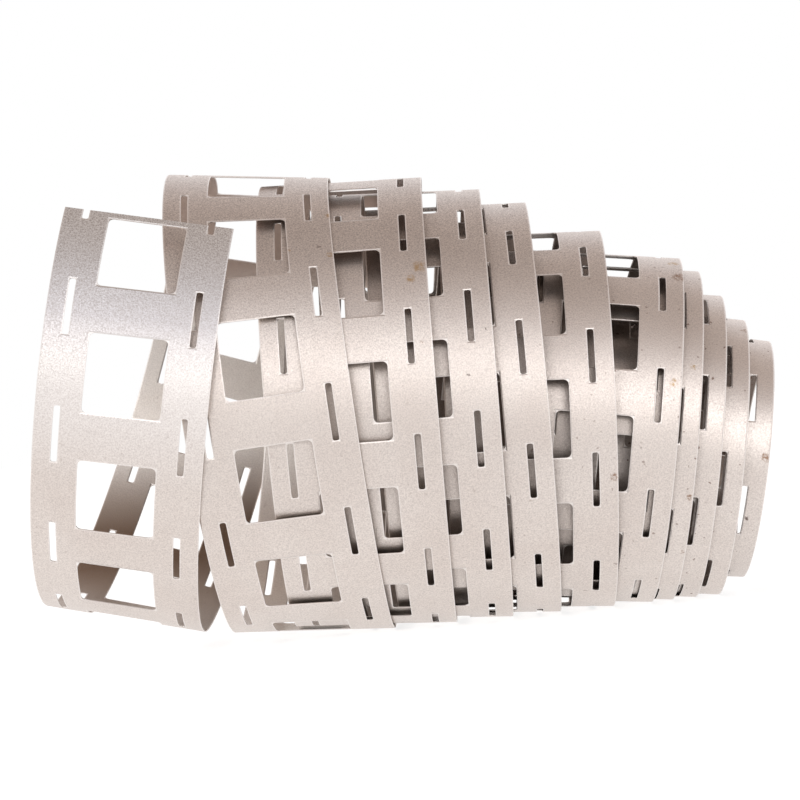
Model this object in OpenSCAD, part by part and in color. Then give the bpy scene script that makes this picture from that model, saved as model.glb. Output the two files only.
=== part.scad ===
// Nickel strip for joining cells, wound in a coil and pulled out sideways.
// Millimetres. X runs along the coil, the floor is z = 0, the front is -Y.

/* [Strip] */
// width of the strip over both rails
strip_w = 27; // [26.5:0.1:27.5]
// thickness of the sheet
sheet_t = 0.15; // [0.1:0.01:0.2]
// usual distance from one crossbar to the next
pitch = 20; // [19:0.1:21]
// side of the square windows
window_w = 12.4; // [11:0.1:13.4]
// corner radius of the windows
window_r = 0.8; // [0.4:0.1:1.5]
// distance between the two rows of weld slots
slot_rows = 20; // [18:0.1:21]
// length of a weld slot
slot_l = 8.4; // [6:0.1:9]
// width of a weld slot
slot_w = 1.2; // [0.8:0.1:1.6]

/* [Coil] */
// turns of the coil, counted from the big end
turns = 11; // [4:1:11]
// where the free end is cut, in cells from the first crossbar
free_end = 1.13; // [1.1:0.01:1.18]

/* [Hidden] */
// Joints of the half-turns, by turns at the top and on the floor side.
// Each row: x and z of the strip's right edge, tilt with the left up,
// cells counted along the ladder.
joints = [
    [-20.5, 81, 15, -0.55], [-37, 2.5, 15, 5.65],
    [-8.5, 77, 7, 11.85], [-5, 0, 4, 17.9],
    [7, 75.5, 2.5, 23.55], [5.5, 0, 4, 29.45],
    [16.5, 72.5, 3.5, 34.85], [15, 0, 4.5, 40.55],
    [24, 69.5, 3, 45.75], [23, 0, 5, 51.2],
    [36, 63.5, 3.5, 56.05], [32, 0, 5, 61],
    [49, 57.5, 9, 66], [38.5, 0, 6.5, 70.65],
    [52, 55, 9, 75], [42, 0, 7, 79.4],
    [55.5, 50.5, 9.5, 83.4], [46, 0, 7.5, 87.4],
    [59, 46, 12, 91], [50, 0, 8, 94.7],
    [63, 42, 13, 97.95], [54.5, 2.5, 8, 101.2],
    [62.5, 39, 12, 104.15]
];
// last half-turn
last = 2*turns - 1;
// joint from which the coil bends to the back, and by how much at each joint
bend_from = 8;
bend = 0.22;
// length of the seam plates that close the joints
seam_l = 1;
// how far a seam plate stands over the sheet
seam_over = 0.005;
// open length in a joint before its seam plate
seam_gap = 0.4;
// depth of a cutter, across the sheet
cut_d = 8;
// straight steps in a rounded corner
corner_steps = 1;
// more than the depth of the coil
far = 120;
$fn = 48;

// Directions in the side view, for a tilt
function along(a) = [cos(a), -sin(a)];
function up(a) = [sin(a), cos(a)];

// The strip at joint j
function tilt(j) = joints[j][2];
function cells(j) = joints[j][3];
function right_edge(j) = [joints[j][0], joints[j][1]];
function left_edge(j) = right_edge(j) - strip_w*along(tilt(j));
function middle(j) = (left_edge(j) + right_edge(j))/2;
function depth(j) = bend*max(0, j - bend_from);

// Half-turn i lies between joints i and i + 1, even ones in front
function hand(i) = i % 2 == 0 ? 1 : -1;
function top(i) = i % 2 == 0 ? i : i + 1;
function low(i) = i % 2 == 0 ? i + 1 : i;

// Its cone: tilt of the axis, half angle, radius and axis point
function lean(i) = (tilt(top(i)) + tilt(low(i)))/2;
function flare(i) = (tilt(top(i)) - tilt(low(i)))/2;
function span(i) = (middle(top(i)) - middle(low(i)))/2;
function shift(i) = span(i)*along(lean(i));
function radius(i) = span(i)*up(lean(i));
function hub(i) =
    (middle(top(i)) + middle(low(i)))/2 + tan(flare(i))*shift(i)*up(lean(i));

// Cell c of the ladder: its half-turn, and its angle from the top
function owner(c) = max([for (i = [0 : last]) cells(i) <= c ? i : 0]);
function part_of(i, c) = (c - cells(i))/(cells(i + 1) - cells(i));
function angle_of(i, c) = 180*(i % 2 == 0 ? part_of(i, c) : 1 - part_of(i, c));

// Sets half-turn i back, so that it meets its neighbours
module set_back(i) {
    a = middle(top(i))[1];
    b = middle(low(i))[1];
    more = depth(top(i)) - depth(low(i));
    translate([0, (depth(i) + depth(i + 1))/2, (a + b)/2])
        rotate([-asin(more/(a - b)), 0, 0])
            translate([0, 0, -(a + b)/2])
                children();
}

// Frame of half-turn i: X up, Y outward to its side, Z along its axis
module in_turn(i) {
    v = up(lean(i));
    u = hand(i)*along(lean(i));
    h = hub(i);
    set_back(i)
        multmatrix([
            [v[0], 0, u[0], h[0]],
            [0, -hand(i), 0, 0],
            [v[1], 0, u[1], h[1]],
            [0, 0, 0, 1]
        ]) children();
}

// Frame on the sheet at cell c: X outward, Y along the strip, Z across it
module on_sheet(c) {
    i = owner(c);
    a = angle_of(i, c);
    x = shift(i)*cos(a);
    turn = atan(-hand(i)*shift(i)*sin(a)/radius(i));
    in_turn(i)
        rotate([0, 0, a])
            translate([radius(i) - tan(flare(i))*x, 0, hand(i)*x])
                rotate([turn, 0, 0])
                    children();
}

// Corner points of a rectangle with rounded corners
function rounded(w, h, r) = [
    for (q = [0 : 3], n = [0 : corner_steps])
        let (
            a = 90*(q + n/corner_steps),
            x = (q == 0 || q == 3 ? 1 : -1)*(w/2 - r),
            y = (q < 2 ? 1 : -1)*(h/2 - r)
        )
        [x + r*cos(a), y + r*sin(a)]
];

// Outline of a window
module window_shape() {
    polygon(rounded(window_w, window_w, window_r));
}

// Outline of a weld slot, its ends nearly half round
module slot_shape() {
    polygon(rounded(slot_l, slot_w, 0.45*slot_w));
}

// Cuts a shape through the sheet
module through() {
    translate([-cut_d/2, 0, 0])
        rotate([90, 0, 90])
            linear_extrude(cut_d)
                children();
}

// All windows and slots that reach between cells a and b
module openings(a, b) {
    half_window = window_w/2/pitch + 0.02;
    half_slot = slot_l/2/pitch + 0.02;
    for (k = [floor(a - 1) : ceil(b + 1)]) {
        if (k + 0.5 > a - half_window && k + 0.5 < b + half_window)
            on_sheet(k + 0.5)
                through()
                    window_shape();
        if (k > a - half_slot && k < b + half_slot)
            on_sheet(k)
                through()
                    for (y = [-1, 1])
                        translate([0, y*slot_rows/2])
                            slot_shape();
    }
}

// Thin cone wall of half-turn i, longer than the strip is wide
module wall(i) {
    reach = strip_w/2 + abs(shift(i)) + 2;
    slope = tan(flare(i));
    deep = sheet_t/cos(flare(i));
    gap = asin(seam_gap/2/radius(i));
    from = i == 0 ? angle_of(0, free_end) : gap;
    to = i == last ? 180 : 180 - gap;
    in_turn(i)
        rotate([0, 0, from])
            rotate_extrude(angle = to - from)
                polygon([
                    [radius(i) - slope*reach, hand(i)*reach],
                    [radius(i) + slope*reach, -hand(i)*reach],
                    [radius(i) + slope*reach - deep, -hand(i)*reach],
                    [radius(i) - slope*reach - deep, hand(i)*reach]
                ]);
}

// Side view of half-turn i, drawn a little past its joints
module side_view(i) {
    over = 0.05;
    right = right_edge(top(i)) - right_edge(low(i));
    left = left_edge(top(i)) - left_edge(low(i));
    set_back(i)
        rotate([90, 0, 0])
            linear_extrude(far, center = true)
                polygon([
                    right_edge(top(i)) + over*right,
                    left_edge(top(i)) + over*left,
                    left_edge(low(i)) - over*left,
                    right_edge(low(i)) - over*right
                ]);
}

// One half-turn with its openings
module half_turn(i) {
    difference() {
        intersection() {
            wall(i);
            side_view(i);
        }
        openings(i == 0 ? free_end : cells(i), cells(i + 1));
    }
}

// Plate that closes joint j
module seam(j) {
    out = (j % 2 == 0 ? 1 : -1)*up(tilt(j));
    side = seam_over*along(tilt(j));
    outer = seam_over*out;
    inner = -(sheet_t + seam_over)*out;
    difference() {
        translate([0, depth(j), 0])
            rotate([90, 0, 0])
                linear_extrude(seam_l, center = true)
                    polygon([
                        left_edge(j) - side + outer,
                        right_edge(j) + side + outer,
                        right_edge(j) + side + inner,
                        left_edge(j) - side + inner
                    ]);
        openings(cells(j), cells(j));
    }
}

// The whole strip, from its free end to its inner end
module nickel_strip() {
    color([0.79, 0.75, 0.72])
        union() {
            for (i = [0 : last])
                half_turn(i);
            for (j = [1 : last])
                seam(j);
        }
}

nickel_strip();
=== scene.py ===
"""Looks of the nickel strip: the ladder sheet with its punched edges, grain and stains, on a white floor."""

import math
from types import SimpleNamespace

import bpy
import numpy as np
from mathutils import Matrix, Vector
from mathutils.geometry import delaunay_2d_cdt


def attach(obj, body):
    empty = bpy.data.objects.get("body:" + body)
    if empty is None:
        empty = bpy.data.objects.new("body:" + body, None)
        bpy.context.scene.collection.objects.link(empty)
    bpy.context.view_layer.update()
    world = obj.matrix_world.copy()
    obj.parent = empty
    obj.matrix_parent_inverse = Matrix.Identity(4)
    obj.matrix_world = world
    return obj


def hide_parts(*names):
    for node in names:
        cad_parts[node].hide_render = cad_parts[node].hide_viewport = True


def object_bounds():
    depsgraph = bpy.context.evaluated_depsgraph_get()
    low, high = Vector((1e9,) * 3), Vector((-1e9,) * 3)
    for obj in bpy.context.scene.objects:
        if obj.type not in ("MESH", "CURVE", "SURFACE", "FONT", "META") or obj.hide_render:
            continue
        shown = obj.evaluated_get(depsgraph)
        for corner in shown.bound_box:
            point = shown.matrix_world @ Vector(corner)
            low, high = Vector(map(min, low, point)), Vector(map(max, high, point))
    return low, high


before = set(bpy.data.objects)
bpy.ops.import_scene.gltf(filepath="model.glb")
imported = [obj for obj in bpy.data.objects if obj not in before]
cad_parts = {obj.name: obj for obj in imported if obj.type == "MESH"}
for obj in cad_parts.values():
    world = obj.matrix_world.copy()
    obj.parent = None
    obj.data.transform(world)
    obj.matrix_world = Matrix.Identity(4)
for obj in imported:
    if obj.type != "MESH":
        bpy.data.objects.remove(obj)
CAD_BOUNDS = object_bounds()

MM = 0.001

# The strip, in millimetres. The slots are as measured in the photo: a little longer and narrower than in
# the part's source.
STRIP_W = 27.0
HALF_W = STRIP_W / 2
SHEET_T = 0.15
PITCH = 20.0
WINDOW_W = 12.4
WINDOW_R = 0.8
SLOT_ROW = 10.0
SLOT_L = 9.0
SLOT_W = 1.05
SLOT_R = 0.35
# The cut of the free end, in cells from the first crossbar
FREE_END = 1.13

# Joints of the half-turns: right edge x and z, tilt with the left up, cells along the ladder
JOINTS = np.array([
    (-20.5, 81, 15, -0.55), (-37, 2.5, 15, 5.65),
    (-8.5, 77, 7, 11.85), (-5, 0, 4, 17.9),
    (7, 75.5, 2.5, 23.55), (5.5, 0, 4, 29.45),
    (16.5, 72.5, 3.5, 34.85), (15, 0, 4.5, 40.55),
    (24, 69.5, 3, 45.75), (23, 0, 5, 51.2),
    (36, 63.5, 3.5, 56.05), (32, 0, 5, 61),
    (49, 57.5, 9, 66), (38.5, 0, 6.5, 70.65),
    (52, 55, 9, 75), (42, 0, 7, 79.4),
    (55.5, 50.5, 9.5, 83.4), (46, 0, 7.5, 87.4),
    (59, 46, 12, 91), (50, 0, 8, 94.7),
    (63, 42, 13, 97.95), (54.5, 2.5, 8, 101.2),
    (62.5, 39, 12, 104.15),
])
CELLS = JOINTS[:, 3]
LAST_END = CELLS[-1]
# From this joint on the coil bends to the back, by so much at each joint
BEND_FROM, BEND = 8, 0.22

# The mesh: spacing of points along the strip, rows of points across it, how far loose points keep from an
# opening, and the distance within which points are one, in millimetres
GRID = 1.0
ROWS = (-11.9, -10.8, -9.2, -8.0, -6.6, -3.3, 0, 3.3, 6.6, 8.0, 9.2, 10.8, 11.9)
CLEAR = 0.35
SAME = 1e-5
# Steps in a rounded corner, points told apart in a millimetre, and the angle of a sharp edge in degrees
CORNER_STEPS = 4
PER_MM = 1000
SHARP = 40
# Small steps along, in cells, and across, in millimetres, for the direction of the sheet
STEP_CELLS, STEP_ACROSS = 1e-3, 0.05
# Millimetres in one unit of the flat coordinates
FLAT_UNIT = 100.0

# Camera, in millimetres and degrees
CAMERA_AT = (10.25, -439.87, 38.34)
CAMERA_YAW = 1.39
CAMERA_ROLL = 5.77
CAMERA_LENS = 116.46
CAMERA_SENSOR = 36.0

# Softboxes in front, left and right: side and power in watts
LIGHTS = [(-1, 0.90), (1, 1.12)]
# Place of the right one, where both point, and their size, in metres
SOFTBOX_X, SOFTBOX_Y, SOFTBOX_Z = 0.34, -0.84, 0.36
SOFTBOX_AIM = (0, 0, 0.04)
SOFTBOX_SIZE = 0.50
# Light from the room by height, from straight down at 0 to straight up at 1
SKY = [
    (0.0, (0.90, 0.88, 0.87)), (0.5, (0.66, 0.63, 0.615)), (0.63, (1.12, 1.07, 1.04)),
    (0.72, (1.0, 0.985, 0.995)), (0.82, (0.785, 0.77, 0.785)), (0.93, (0.56, 0.475, 0.43)),
    (1.0, (0.40, 0.34, 0.305)),
]
# Its strength in front of the part and behind it
SKY_FRONT, SKY_BACK = 0.84, 1.20
# Floor: side and drop in metres, colour, its glow to the eye, and its glow on the part by y
FLOOR_SIZE, FLOOR_DROP = 6, 0.00005
FLOOR_GREY = (0.45, 0.45, 0.45, 1)
FLOOR_SEEN = 0.78
FLOOR_GLOW = (-0.20, -0.04, 0.44, 0.64)
WHITE = (1, 1, 1, 1)

# Colours of the metal
OUTER_METAL = (0.87, 0.80, 0.752, 1), (0.82, 0.74, 0.69, 1)
# The inner face is the same nickel, painted lighter to make up for the light that falls short inside the coil
INNER_METAL_PAINTED_LIGHTER = (0.98, 0.93, 0.88, 1), (0.94, 0.88, 0.82, 1)
# The next two lines are painted shade of the inside: low in the first turn, at the top, and farther into the
# coil
INNER_SHADE_LOW, INNER_SHADE_HIGH = (0.27, 0.185, 0.13, 1), (0.48, 0.37, 0.315, 1)
INNER_SHADE_DEEP = (0.22, 0.172, 0.145, 1)
# Painted shade, laid on the outer face where neighbouring turns close it in
SHADE_BETWEEN_TURNS = (0.30, 0.245, 0.215, 1)
GRAIN_DARK = (0.42, 0.375, 0.355, 1)
STAIN, SPECK = (0.42, 0.27, 0.16, 1), (0.16, 0.075, 0.045, 1)
# The rim colour is a painted highlight along the cut edges; CUT is the bare edge's own colour
RIM_HIGHLIGHT, CUT = (1.0, 0.96, 0.93, 1), (0.80, 0.75, 0.72, 1)
# Painted light and shade on the free end, by length from the first crossbar in flat units: white near the
# cut, a painted darker band, then a painted highlight
FREE_END_PAINTED_LIGHT = [
    (0.25, (1.0, 1.0, 1.0)), (0.41, (0.70, 0.68, 0.70)),
    (0.49, (1.0, 0.965, 0.945)), (0.58, (1.0, 0.95, 0.92)),
]

# Noises: scale, detail, roughness, seed
GRAIN_NOISE = (4200.0, 1.0, 0.6, 0.0)
CLOUD_NOISE = (60.0, 3.0, 0.55, 2.0)
STREAK_NOISE = (1.0, 3.0, 0.6, 5.0)
SPECK_NOISE = (1100.0, 1.0, 0.5, 9.0)
STAIN_NOISE = (190.0, 4.0, 0.7, 14.0)
CRUMB_NOISE = (1900.0, 2.0, 0.6, 21.0)
# Streaks run along the strip: scale along and across
STREAK_STRETCH = (4.0, 260.0)
# Rims of the larger stains: scale, detail, roughness, and the push in flat units
TORN_NOISE = (110.0, 4.0, 0.75)
TORN_PUSH = 0.02

# Ranges: a value from the first number to the second becomes one from the third to the fourth
CLOUD_SHARE = (0.4, 0.65, 0.0, 1.0)
STREAK_SHARE = (0.45, 0.75, 0.0, 0.25)
GRAIN_SHARE = (0.32, 0.70, 0.0, 1.0)
STAIN_SHARE = (0.66, 0.76, 0.0, 0.5)
SPECK_SHARE = (0.70, 0.75, 0.0, 0.8)
CRUMB_SHARE = (0.40, 0.56, 0.1, 0.85)
ROUGHNESS = (0.3, 0.7, 0.36, 0.48)
# Ranges by length along the strip, in flat units
DIRT_BY_RUN = (9.0, 17.0, 0.18, 1.0)
FREE_END_LIGHT_FADE = (0.57, 0.67, 0.0, 1.0)
# The next two place the painted shade of the inside
LOW_BY_RUN = (2.4, 3.4, 1.0, 0.1)
DEEP_BY_RUN = (5.0, 10.0, 0.0, 1.0)
# Ranges by height in metres; the first three place the painted shade of the inside
LOW_UNDER = (0.019, 0.033, 1.0, 0.0)
LOW_OVER = (0.003, 0.014, 0.4, 1.0)
HIGH_OVER = (0.056, 0.066, 0.0, 1.0)
OUTER_GRAIN = (0.044, 0.066, 0.42, 0.85)
INNER_GRAIN = (0.044, 0.066, 0.25, 0.25)
# Range by how open a place lies, and how far from it the sheet counts, in metres
OPEN_SHARE = (0.04, 0.60, 0.0, 1.0)
OPEN_REACH = 0.008
# Rolled rims, by millimetres from the cut edge: the painted highlight along them, and their rise
RIM_HIGHLIGHT_SHARE = (0.08, 0.22, 0.6, 0.0)
RIM_RISE = (0.0, 0.22, 0.0, 1.0)
# Relief of rims and grain: strength, and height in metres
RIM_STRENGTH, GRAIN_STRENGTH = 1.0, 0.4
RELIEF = 0.00008
CUT_ROUGHNESS = 0.32

# Stains and dots of the outer face: cells along the ladder, millimetres across, radius, colour
OCHRE, BROWN, DARK = (0.52, 0.36, 0.20, 1), (0.30, 0.17, 0.10, 1), (0.09, 0.05, 0.04, 1)
MARKS = [
    (25.40, 12.2, 1.2, OCHRE), (25.51, 10.9, 0.9, OCHRE), (66.75, 13.0, 1.7, BROWN),
    (66.45, 12.0, 1.2, OCHRE), (67.89, 12.2, 0.8, OCHRE), (76.59, 11.9, 0.6, OCHRE),
    (58.98, 12.9, 0.8, BROWN), (100.06, 11.0, 0.45, DARK), (99.52, 12.9, 0.9, BROWN),
    (91.49, 12.9, 0.7, BROWN), (37.49, 9.2, 0.25, DARK), (37.13, 12.4, 0.25, DARK),
    (77.66, 12.9, 0.6, BROWN), (78.20, 12.9, 0.5, BROWN), (26.06, 11.8, 0.3, BROWN),
    (4.74, -11.9, 0.4, BROWN), (13.56, 11.2, 0.35, DARK), (13.66, 12.9, 0.6, OCHRE),
    (13.17, 13.2, 0.7, OCHRE), (13.58, 6.5, 0.4, OCHRE),
]
# Part of a mark's radius that has its full colour
MARK_CORE = 0.5


# Shape of the sheet

def along(tilt):
    """Direction along the coil in the side view, for a tilt."""
    a = math.radians(tilt)
    return np.array((math.cos(a), -math.sin(a)))


def up(tilt):
    """Direction away from the coil's axis in the side view, for a tilt."""
    a = math.radians(tilt)
    return np.array((math.sin(a), math.cos(a)))


def edges(j):
    """Left and right edge of the strip at joint j, in the side view."""
    right = JOINTS[j, :2]
    return right - STRIP_W * along(JOINTS[j, 2]), right


def depth(j):
    """How far joint j lies to the back."""
    return BEND * max(0, j - BEND_FROM)


def ends(i):
    """Joints of half-turn i, at the top and on the floor side; even half-turns are in front."""
    return (i, i + 1) if i % 2 == 0 else (i + 1, i)


def set_back(i, points):
    """Points of half-turn i moved back, so that it meets its neighbours."""
    top, low = ends(i)
    a, b = sum(edges(top))[1] / 2, sum(edges(low))[1] / 2
    turn = -math.asin((depth(top) - depth(low)) / (a - b))
    y, z = points[:, 1], points[:, 2] - (a + b) / 2
    back = (depth(top) + depth(low)) / 2 + y * math.cos(turn) - z * math.sin(turn)
    high = (a + b) / 2 + y * math.sin(turn) + z * math.cos(turn)
    return np.stack((points[:, 0], back, high), axis=1)


def half_turn(i):
    """The cone of half-turn i: its axis, radius and edges at the top and on the floor side."""
    top, low = ends(i)
    lean = (JOINTS[top, 2] + JOINTS[low, 2]) / 2
    slope = math.tan(math.radians((JOINTS[top, 2] - JOINTS[low, 2]) / 2))
    (lt, rt), (ll, rl) = edges(top), edges(low)
    span = (lt + rt - ll - rl) / 4
    shift = span @ along(lean)
    hub = (lt + rt + ll + rl) / 4 + slope * shift * up(lean)
    return along(lean), up(lean), slope, span @ up(lean), hub, lt, rt, ll, rl


HALVES = [half_turn(i) for i in range(len(JOINTS) - 1)]


def ruled(cells, across):
    """Points of the outer face, in millimetres, at a count of cells and a distance across from the middle."""
    cells, across = np.broadcast_arrays(np.asarray(cells, float), np.asarray(across, float))
    owner = np.clip(np.searchsorted(CELLS, cells, side="right") - 1, 0, len(HALVES) - 1)
    points = np.zeros(cells.shape + (3,))
    for i in np.unique(owner):
        m = owner == i
        axis, rise, slope, radius, hub, lt, rt, ll, rl = HALVES[i]
        part = (cells[m] - CELLS[i]) / (CELLS[i + 1] - CELLS[i])
        turn = math.pi * (part if i % 2 == 0 else 1 - part)
        f = ((1 - np.cos(turn)) / 2)[:, None]
        left, right = lt + f * (ll - lt), rt + f * (rl - rt)
        q = left + (across[m] / STRIP_W + 0.5)[:, None] * (right - left) - hub
        xi = q @ axis
        r = radius - slope * xi
        side = hub + np.outer(xi, axis) + np.outer(r * np.cos(turn), rise)
        out = (-1 if i % 2 == 0 else 1) * r * np.sin(turn)
        points[m] = set_back(i, np.stack((side[:, 0], out, side[:, 1]), axis=1))
    return points


def unit(v):
    """Vectors at length one."""
    return v / np.linalg.norm(v, axis=-1, keepdims=True)


def sheet(cells, across):
    """Points and outward normals where the pattern is square to the strip's run."""
    e, d = STEP_CELLS, STEP_ACROSS
    run = (ruled(cells + e, 0) - ruled(cells - e, 0)) / (2 * e)
    ruling = unit(ruled(cells, 1.0) - ruled(cells, -1.0))
    sine = np.sum(unit(run) * ruling, axis=-1)
    skew = sine / np.sqrt(1 - sine ** 2)
    c = cells - across * skew / np.linalg.norm(run, axis=-1)
    run_here = ruled(c + e, across) - ruled(c - e, across)
    across_here = ruled(c, across + d) - ruled(c, across - d)
    return ruled(c, across), unit(np.cross(run_here, across_here))


# Flat pattern of one cell

def rounded(cx, cy, w, h, r):
    """Outline of a rounded rectangle with its long sides in short steps."""
    corners = []
    for q, (sx, sy) in enumerate(((1, 1), (-1, 1), (-1, -1), (1, -1))):
        for s in range(CORNER_STEPS + 1):
            a = math.pi / 2 * (q + s / CORNER_STEPS)
            x, y = cx + sx * (w / 2 - r), cy + sy * (h / 2 - r)
            corners.append((x + r * math.cos(a), y + r * math.sin(a)))
    outline = []
    for p, q in zip(corners, corners[1:] + corners[:1]):
        n = max(1, math.ceil(math.dist(p, q) / GRID))
        outline += [(p[0] + (q[0] - p[0]) * k / n, p[1] + (q[1] - p[1]) * k / n) for k in range(n)]
    return outline


def in_rounded(u, w, cx, cy, lu, lw, r):
    """True inside a rounded rectangle."""
    dx = max(abs(u - cx) - (lu / 2 - r), 0)
    dy = max(abs(w - cy) - (lw / 2 - r), 0)
    return math.hypot(dx, dy) < r


def is_open(u, w):
    """True in a window or a weld slot; u runs along the strip from the crossbar's middle."""
    if any(in_rounded(u, w, s * PITCH / 2, 0, WINDOW_W, WINDOW_W, WINDOW_R) for s in (-1, 1)):
        return True
    return any(in_rounded(u, w, 0, s * SLOT_ROW, SLOT_L, SLOT_W, SLOT_R) for s in (-1, 1))


def loose_points(steps):
    """Points between the outlines, clear of every opening, and those on the two ends of the cell."""
    about = (-CLEAR, 0, CLEAR)
    between = [
        (u, w) for u in steps[1:-1] for w in ROWS
        if not any(is_open(u + du, w + dw) for du in about for dw in about)
    ]
    return between + [(u, w) for u in (steps[0], steps[-1]) for w in ROWS if not is_open(u, w)]


def cell_pattern(start, end):
    """Triangles of one cell in the flat, from start to end in millimetres from the crossbar's middle."""
    steps = np.linspace(start, end, max(2, round((end - start) / GRID) + 1))
    outlines = [[(u, -HALF_W) for u in steps] + [(u, HALF_W) for u in steps[::-1]]]
    for s in (-1, 1):
        outlines.append(rounded(s * PITCH / 2, 0, WINDOW_W, WINDOW_W, WINDOW_R))
        outlines.append(rounded(0, s * SLOT_ROW, SLOT_L, SLOT_W, SLOT_R))
    points, links = [], []
    for loop in outlines:
        first = len(points)
        points += loop
        links += [(first + k, first + (k + 1) % len(loop)) for k in range(len(loop))]
    points += loose_points(steps)
    verts, _, faces, *_ = delaunay_2d_cdt([Vector(p) for p in points], links, [], 0, SAME)
    verts = np.array([tuple(v) for v in verts])
    kept = []
    for face in faces:
        u, w = verts[list(face)].mean(axis=0)
        if start < u < end and abs(w) < HALF_W and not is_open(u, w):
            kept.append(tuple(face))
    return verts, kept


# Mesh of the strip

def flat_strip():
    """The whole ladder in the flat: cells and distance across for each point, and the triangles."""
    first, last = math.floor(FREE_END + 0.5), math.floor(LAST_END + 0.5)
    half = PITCH / 2
    plain = cell_pattern(-half, half)
    at, flat, tris = {}, [], []
    for k in range(first, last + 1):
        start, end = max(-half, (FREE_END - k) * PITCH), min(half, (LAST_END - k) * PITCH)
        whole = start == -half and end == half
        verts, faces = plain if whole else cell_pattern(start, end)
        index = {}
        for n in sorted({v for f in faces for v in f}):
            c, w = k + verts[n, 0] / PITCH, verts[n, 1]
            key = (round(c * (PITCH * PER_MM)), round(w * PER_MM))
            if key not in at:
                at[key] = len(flat)
                flat.append((c, w))
            index[n] = at[key]
        tris += [tuple(index[v] for v in f) for f in faces]
    return np.array(flat), tris


def open_edges(tris):
    """Edges that bound the sheet, in the direction of their triangle."""
    seen = {(t[k], t[(k + 1) % 3]) for t in tris for k in range(3)}
    return sorted(e for e in seen if e[::-1] not in seen)


def faces_outward(tris, points, normals):
    """True where the triangles turn the way of the normals."""
    a, b, c = (points[list(corner)] for corner in zip(*tris))
    return np.sum(np.cross(b - a, c - a) * normals[[t[0] for t in tris]]) > 0


def strip_mesh():
    """The sheet with its outer face, inner face and cut edges, and its flat coordinates."""
    flat, tris = flat_strip()
    points, normals = sheet(flat[:, 0], flat[:, 1])
    n = len(points)
    cuts = open_edges(tris)
    faces = [tuple(t) for t in tris] + [tuple(v + n for v in t[::-1]) for t in tris]
    faces += [(b, a, a + n, b + n) for a, b in cuts]
    if not faces_outward(tris, points, normals):
        faces = [f[::-1] for f in faces]
    mesh = bpy.data.meshes.new("strip_sheet")
    lowest, highest = (np.array(corner) for corner in CAD_BOUNDS)
    both = np.concatenate((points, points - SHEET_T * normals)) * MM
    mesh.from_pydata(np.clip(both, lowest, highest), [], faces)
    mesh.polygons.foreach_set("material_index", [0] * len(tris) + [1] * len(tris) + [2] * len(cuts))
    uv = mesh.uv_layers.new(name="flat")
    loop_vert = np.zeros(len(mesh.loops), np.int32)
    mesh.loops.foreach_get("vertex_index", loop_vert)
    place = np.concatenate((flat, flat))[loop_vert] * (PITCH / FLAT_UNIT, 1 / FLAT_UNIT)
    uv.data.foreach_set("uv", place.astype(np.float32).ravel())
    mesh.shade_smooth()
    mesh.set_sharp_from_angle(angle=math.radians(SHARP))
    mesh.update()
    return mesh


# Building blocks of materials

def new_material(name):
    """A material, its nodes and its shader."""
    material = bpy.data.materials.new(name)
    material.use_nodes = True
    tree = material.node_tree
    return material, tree, tree.nodes["Principled BSDF"]


def node(tree, kind, **values):
    """A node with values on its sockets or settings, by name."""
    made = tree.nodes.new(kind)
    for key, value in values.items():
        if key in made.inputs:
            made.inputs[key].default_value = value
        else:
            setattr(made, key, value)
    return made


def split(tree, vector):
    """The three parts of a vector."""
    made = node(tree, "ShaderNodeSeparateXYZ")
    tree.links.new(vector, made.inputs["Vector"])
    return made.outputs


def scaled(tree, source, along_scale, across_scale):
    """Flat coordinates stretched along and across the strip."""
    mapping = node(tree, "ShaderNodeMapping", Scale=(along_scale, across_scale, 1))
    tree.links.new(source, mapping.inputs["Vector"])
    return mapping.outputs["Vector"]


def ramp_of(tree, source, low, high, to_low=0.0, to_high=1.0):
    """A value from low to high becomes one from to_low to to_high."""
    limits = {"From Min": low, "From Max": high, "To Min": to_low, "To Max": to_high}
    made = node(tree, "ShaderNodeMapRange", **limits)
    tree.links.new(source, made.inputs["Value"])
    return made.outputs["Result"]


def calc(tree, operation, a, b=0.0):
    """One step of arithmetic on sockets or plain numbers."""
    made = node(tree, "ShaderNodeMath", operation=operation)
    for socket, value in zip(made.inputs, (a, b)):
        if isinstance(value, float):
            socket.default_value = value
        else:
            tree.links.new(value, socket)
    return made.outputs["Value"]


def times(tree, a, b):
    return calc(tree, "MULTIPLY", a, b)


def noise(tree, place, scale, detail, rough, seed):
    """A noise from 0 to 1."""
    made = node(tree, "ShaderNodeTexNoise", noise_dimensions="4D",
                Scale=scale, Detail=detail, Roughness=rough, W=seed)
    tree.links.new(place, made.inputs["Vector"])
    return made.outputs["Fac"]


def tinted(tree, base, colour, share):
    """Base colour turned towards another by a share."""
    made = node(tree, "ShaderNodeMix", data_type="RGBA")
    tree.links.new(share, made.inputs["Factor"])
    for name, value in (("A", base), ("B", colour)):
        socket = [i for i in made.inputs if i.name == name and i.type == "RGBA"][0]
        if isinstance(value, tuple):
            socket.default_value = value
        else:
            tree.links.new(value, socket)
    return [o for o in made.outputs if o.type == "RGBA"][0]


def colour_ramp(tree, source, stops):
    """Colour by a value from 0 to 1, from stops of position and colour."""
    made = node(tree, "ShaderNodeValToRGB")
    elements = made.color_ramp.elements
    elements[1].position = 1.0
    for position, _ in stops[1:-1]:
        elements.new(position)
    for element, (position, colour) in zip(elements, stops):
        element.position, element.color = position, (*colour, 1)
    tree.links.new(source, made.inputs["Fac"])
    return made.outputs["Color"]


# Places on the sheet

def places(tree):
    """Where a point lies: in the part and its height, and on the flat strip, along and across it."""
    solid = node(tree, "ShaderNodeTexCoord").outputs["Object"]
    flat = node(tree, "ShaderNodeUVMap", uv_map="flat").outputs["UV"]
    run, across = split(tree, flat)[:2]
    return SimpleNamespace(solid=solid, height=split(tree, solid)["Z"], flat=flat, run=run, across=across)


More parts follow.
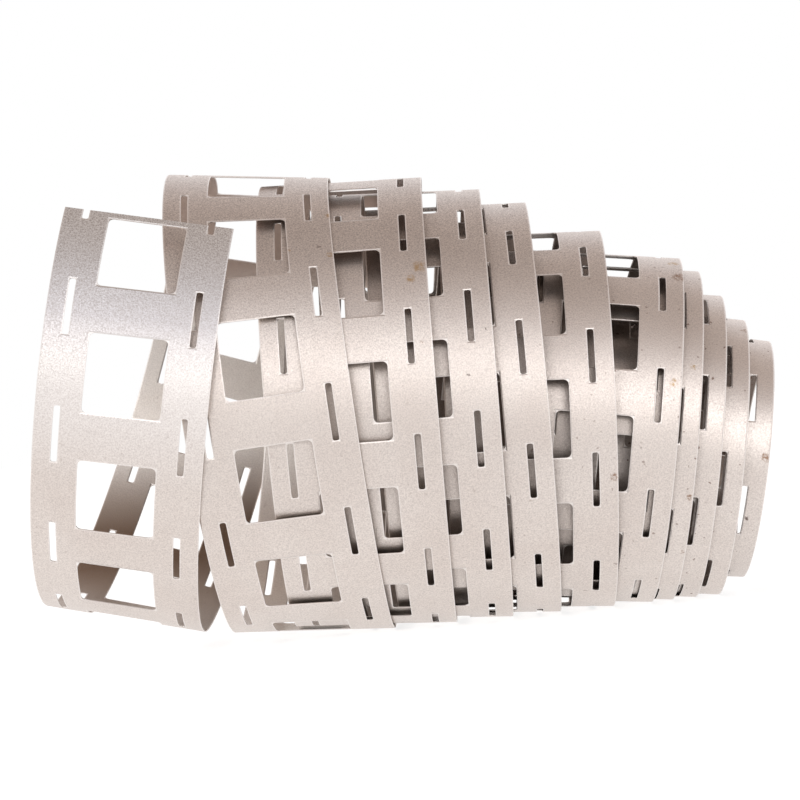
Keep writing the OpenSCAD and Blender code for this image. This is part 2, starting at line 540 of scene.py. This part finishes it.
def edge_distance(tree, at):
    """Millimetres to the nearest cut edge."""
    def less(a, b):
        return calc(tree, "SUBTRACT", a, b)

    def outside(x, y, w, h):
        return calc(tree, "MAXIMUM", less(x, w / 2), less(y, h / 2))

    across = times(tree, calc(tree, "ABSOLUTE", at.across), FLAT_UNIT)
    phase = calc(tree, "FRACT", calc(tree, "ADD", times(tree, at.run, FLAT_UNIT / PITCH), 0.5))
    from_bar = times(tree, calc(tree, "ABSOLUTE", less(phase, 0.5)), PITCH)
    from_row = calc(tree, "ABSOLUTE", less(across, SLOT_ROW))
    window = outside(less(PITCH / 2, from_bar), across, WINDOW_W, WINDOW_W)
    slot = outside(from_bar, from_row, SLOT_L, SLOT_W)
    rail = less(HALF_W, across)
    return calc(tree, "MINIMUM", rail, calc(tree, "MINIMUM", window, slot))


def spot(tree, place, cells, across, radius):
    """One in the core of a spot on the sheet, falling to zero at its rim."""
    middle = (cells * PITCH / FLAT_UNIT, across / FLAT_UNIT, 0)
    away = node(tree, "ShaderNodeVectorMath", operation="DISTANCE")
    away.inputs[1].default_value = middle
    tree.links.new(place, away.inputs[0])
    rim = radius / FLAT_UNIT
    return ramp_of(tree, away.outputs["Value"], MARK_CORE * rim, rim, 1.0, 0.0)


def ragged(tree, flat):
    """Flat coordinates pushed about by a fine noise."""
    scale, detail, rough = TORN_NOISE
    fine = node(tree, "ShaderNodeTexNoise", Scale=scale, Detail=detail, Roughness=rough)
    tree.links.new(flat, fine.inputs["Vector"])
    push = node(tree, "ShaderNodeVectorMath", operation="MULTIPLY_ADD")
    push.inputs[1].default_value = (TORN_PUSH, TORN_PUSH, 0)
    tree.links.new(fine.outputs["Color"], push.inputs[0])
    tree.links.new(flat, push.inputs[2])
    centred = node(tree, "ShaderNodeVectorMath", operation="SUBTRACT")
    centred.inputs[1].default_value = (TORN_PUSH / 2, TORN_PUSH / 2, 0)
    tree.links.new(push.outputs["Vector"], centred.inputs[0])
    return centred.outputs["Vector"]


def openness(tree):
    """How open a place lies: low in the narrow spaces between turns."""
    near = node(tree, "ShaderNodeAmbientOcclusion", samples=4, only_local=True, Distance=OPEN_REACH)
    return near.outputs["AO"]


# Nickel

def plain_metal(tree, at, light, dark):
    """Cloudy metal with faint streaks along the strip."""
    cloud = noise(tree, at.solid, *CLOUD_NOISE)
    streak = noise(tree, scaled(tree, at.flat, *STREAK_STRETCH), *STREAK_NOISE)
    colour = tinted(tree, light, dark, ramp_of(tree, cloud, *CLOUD_SHARE))
    return tinted(tree, colour, dark, ramp_of(tree, streak, *STREAK_SHARE))


def paint_free_end_light(tree, at, colour):
    """The free end is cooler than the rest, with painted light and shade along it in place of the metal's own
    colour.
    """
    end = colour_ramp(tree, at.run, FREE_END_PAINTED_LIGHT)
    return tinted(tree, end, colour, ramp_of(tree, at.run, *FREE_END_LIGHT_FADE))


def inner_painted_shade(tree, at, colour):
    """The inside with painted shade: brown a little above the floor in the first turn, warm at the top,
    darker farther in.
    """
    low_shade = ramp_of(tree, at.run, *LOW_BY_RUN)
    low_shade = times(tree, low_shade, ramp_of(tree, at.height, *LOW_UNDER))
    low_shade = times(tree, low_shade, ramp_of(tree, at.height, *LOW_OVER))
    colour = tinted(tree, colour, INNER_SHADE_LOW, low_shade)
    colour = tinted(tree, colour, INNER_SHADE_HIGH, ramp_of(tree, at.height, *HIGH_OVER))
    return tinted(tree, colour, INNER_SHADE_DEEP, ramp_of(tree, at.run, *DEEP_BY_RUN))


def dirty(tree, at, colour):
    """Small stains and specks, more of them towards the inner end."""
    more = ramp_of(tree, at.run, *DIRT_BY_RUN)
    stains = ramp_of(tree, noise(tree, at.solid, *STAIN_NOISE), *STAIN_SHARE)
    specks = ramp_of(tree, noise(tree, at.solid, *SPECK_NOISE), *SPECK_SHARE)
    colour = tinted(tree, colour, STAIN, times(tree, stains, more))
    return tinted(tree, colour, SPECK, times(tree, specks, more))


def shade_and_marks(tree, at, colour):
    """Shade between the turns, and the larger stains with torn rims, broken up into crumbs."""
    # Painted shade by how open a place lies
    colour = tinted(tree, SHADE_BETWEEN_TURNS, colour, ramp_of(tree, openness(tree), *OPEN_SHARE))
    torn = ragged(tree, at.flat)
    crumbs = ramp_of(tree, noise(tree, at.solid, *CRUMB_NOISE), *CRUMB_SHARE)
    for cells, across, radius, stain in MARKS:
        share = times(tree, spot(tree, torn, cells, across, radius), crumbs)
        colour = tinted(tree, colour, stain, share)
    return colour


def relief(tree, grain, edge):
    """Normal of the sheet with its grain and the rolled rims of its cut edges."""
    rim = node(tree, "ShaderNodeBump", Strength=RIM_STRENGTH, Distance=RELIEF)
    tree.links.new(ramp_of(tree, edge, *RIM_RISE), rim.inputs["Height"])
    fine = node(tree, "ShaderNodeBump", Strength=GRAIN_STRENGTH, Distance=RELIEF)
    tree.links.new(grain, fine.inputs["Height"])
    tree.links.new(rim.outputs["Normal"], fine.inputs["Normal"])
    return fine.outputs["Normal"]


def nickel(name, outer):
    """Satin rolled nickel, for the outer face or the inner one."""
    material, tree, shader = new_material(name)
    at = places(tree)
    grain = noise(tree, at.solid, *GRAIN_NOISE)
    edge = edge_distance(tree, at)
    colour = plain_metal(tree, at, *(OUTER_METAL if outer else INNER_METAL_PAINTED_LIGHTER))
    # Painted light and shade on the free end of the outer face, painted shade on the inner face
    colour = paint_free_end_light(tree, at, colour) if outer else inner_painted_shade(tree, at, colour)
    by_height = ramp_of(tree, at.height, *(OUTER_GRAIN if outer else INNER_GRAIN))
    colour = tinted(tree, colour, GRAIN_DARK, times(tree, ramp_of(tree, grain, *GRAIN_SHARE), by_height))
    colour = dirty(tree, at, colour)
    if outer:
        colour = shade_and_marks(tree, at, colour)
    # Painted highlight along the cut edges
    colour = tinted(tree, colour, RIM_HIGHLIGHT, ramp_of(tree, edge, *RIM_HIGHLIGHT_SHARE))
    shader.inputs["Metallic"].default_value = 1.0
    tree.links.new(colour, shader.inputs["Base Color"])
    tree.links.new(ramp_of(tree, grain, *ROUGHNESS), shader.inputs["Roughness"])
    tree.links.new(relief(tree, grain, edge), shader.inputs["Normal"])
    return material


def cut_edge():
    """Bare metal of the cut edges."""
    material, _, shader = new_material("nickel_cut_edge")
    shader.inputs["Metallic"].default_value = 1.0
    shader.inputs["Base Color"].default_value = CUT
    shader.inputs["Roughness"].default_value = CUT_ROUGHNESS
    return material


def add_strip():
    mesh = strip_mesh()
    mesh.materials.append(nickel("nickel_outer", outer=True))
    mesh.materials.append(nickel("nickel_inner", outer=False))
    mesh.materials.append(cut_edge())
    obj = bpy.data.objects.new("strip", mesh)
    bpy.context.scene.collection.objects.link(obj)
    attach(obj, "root")
    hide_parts("nickel_strip")


# Stage

def add_floor():
    """White floor that keeps the shadow; its light on the part falls off to the front."""
    bpy.ops.mesh.primitive_plane_add(size=FLOOR_SIZE, location=(0, 0, -FLOOR_DROP))
    floor = bpy.context.object
    floor.name = "floor"
    material, tree, shader = new_material("floor_white")
    shader.inputs["Base Color"].default_value = FLOOR_GREY
    shader.inputs["Roughness"].default_value = 1.0
    shader.inputs["Specular IOR Level"].default_value = 0.0
    shader.inputs["Emission Color"].default_value = WHITE
    rays = node(tree, "ShaderNodeLightPath")
    place = split(tree, node(tree, "ShaderNodeTexCoord").outputs["Object"])
    glow = node(tree, "ShaderNodeMix", data_type="FLOAT", B=FLOOR_SEEN)
    tree.links.new(rays.outputs["Is Camera Ray"], glow.inputs["Factor"])
    tree.links.new(ramp_of(tree, place["Y"], *FLOOR_GLOW), glow.inputs["A"])
    tree.links.new(glow.outputs["Result"], shader.inputs["Emission Strength"])
    floor.data.materials.append(material)


def add_world():
    """A pale room that is white to the camera."""
    world = bpy.data.worlds.new("studio")
    bpy.context.scene.world = world
    world.use_nodes = True
    tree = world.node_tree
    link = tree.links.new
    tree.nodes.clear()
    out = node(tree, "ShaderNodeOutputWorld")
    mix = node(tree, "ShaderNodeMixShader")
    seen = node(tree, "ShaderNodeBackground", Color=WHITE, Strength=1.0)
    lit = node(tree, "ShaderNodeBackground")
    way = split(tree, node(tree, "ShaderNodeTexCoord").outputs["Generated"])
    link(colour_ramp(tree, ramp_of(tree, way["Z"], -1.0, 1.0), SKY), lit.inputs["Color"])
    link(ramp_of(tree, way["Y"], -1.0, 1.0, SKY_FRONT, SKY_BACK), lit.inputs["Strength"])
    rays = node(tree, "ShaderNodeLightPath")
    link(rays.outputs["Is Camera Ray"], mix.inputs["Fac"])
    link(lit.outputs["Background"], mix.inputs[1])
    link(seen.outputs["Background"], mix.inputs[2])
    link(mix.outputs["Shader"], out.inputs["Surface"])


def add_softbox(side, power):
    data = bpy.data.lights.new("softbox", "AREA")
    data.shape, data.size, data.energy = "DISK", SOFTBOX_SIZE, power
    obj = bpy.data.objects.new("softbox", data)
    bpy.context.scene.collection.objects.link(obj)
    obj.location = (side * SOFTBOX_X, SOFTBOX_Y, SOFTBOX_Z)
    obj.rotation_mode = "QUATERNION"
    obj.rotation_quaternion = (Vector(SOFTBOX_AIM) - obj.location).to_track_quat("-Z", "Y")


def add_camera():
    data = bpy.data.cameras.new("camera")
    data.lens, data.sensor_width = CAMERA_LENS, CAMERA_SENSOR
    data.clip_start, data.clip_end = 0.01, 50
    obj = bpy.data.objects.new("camera", data)
    bpy.context.scene.collection.objects.link(obj)
    yaw = math.radians(CAMERA_YAW)
    forward = Vector((-math.sin(yaw), math.cos(yaw), 0))
    level = forward.to_track_quat("-Z", "Y").to_matrix().to_4x4()
    roll = Matrix.Rotation(math.radians(-CAMERA_ROLL), 4, "Z")
    obj.matrix_world = Matrix.Translation(Vector(CAMERA_AT) * MM) @ level @ roll
    bpy.context.scene.camera = obj


bpy.context.scene.view_settings.view_transform = "Standard"
add_strip()
add_floor()
add_world()
for side, power in LIGHTS:
    add_softbox(side, power)
add_camera()
